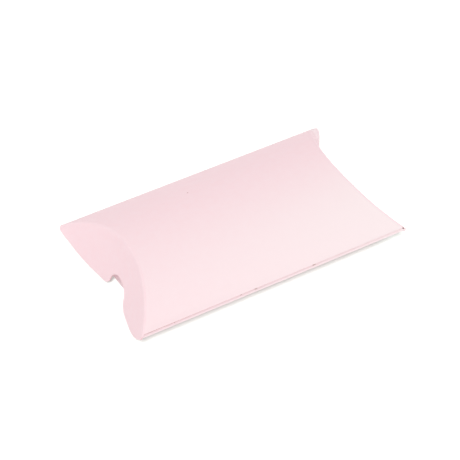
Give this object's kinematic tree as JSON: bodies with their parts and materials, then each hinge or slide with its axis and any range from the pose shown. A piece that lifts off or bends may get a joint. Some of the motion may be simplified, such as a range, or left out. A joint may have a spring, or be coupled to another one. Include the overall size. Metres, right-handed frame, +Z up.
{
  "type": "favor box",
  "caption": "Pillow-shaped card favor box: a curved sleeve with tuck-in end flaps on curved creases, thumb notches in the outer flaps, and a glued front seam.",
  "frame": {"origin": "middle of the box on plan, at the lowest line of the base panel", "axes": "+X along the box, +Y from the glued front seam to the plain back fold, +Z up through the top panel"},
  "size_m": [0.1198, 0.0696, 0.0276],
  "materials": {
    "card": "matte",
    "adhesive": "satin"
  },
  "bodies": {
    "sleeve": {"top_panel": "card", "base_panel": "card", "back_fold": "card", "front_fold": "card", "glue_tab": "card", "glue_film": "adhesive", "left_outer_crease": "card", "left_inner_crease": "card", "right_outer_crease": "card", "right_inner_crease": "card"},
    "left_outer_flap": {"left_outer_flap": "card"},
    "left_inner_flap": {"left_inner_flap": "card"},
    "right_outer_flap": {"right_outer_flap": "card"},
    "right_inner_flap": {"right_inner_flap": "card"}
  },
  "joints": [
    {"name": "left_outer_fold", "type": "hinge", "parent": "sleeve", "child": "left_outer_flap", "pos_m": [-0.0468, 0, 0.0276], "axis": [0, 1, 0], "range_deg": [0, 90]},
    {"name": "left_inner_fold", "type": "hinge", "parent": "sleeve", "child": "left_inner_flap", "pos_m": [-0.0468, 0, 0], "axis": [0, -1, 0], "range_deg": [0, 45]},
    {"name": "right_outer_fold", "type": "hinge", "parent": "sleeve", "child": "right_outer_flap", "pos_m": [0.0468, 0, 0.0276], "axis": [0, -1, 0], "range_deg": [0, 90]},
    {"name": "right_inner_fold", "type": "hinge", "parent": "sleeve", "child": "right_inner_flap", "pos_m": [0.0468, 0, 0], "axis": [0, 1, 0], "range_deg": [0, 45]}
  ],
  "couplings": [
    {"joint": "left_inner_fold", "follows": "left_outer_fold", "ratio": 0.5},
    {"joint": "right_inner_fold", "follows": "right_outer_fold", "ratio": 0.5}
  ]
}
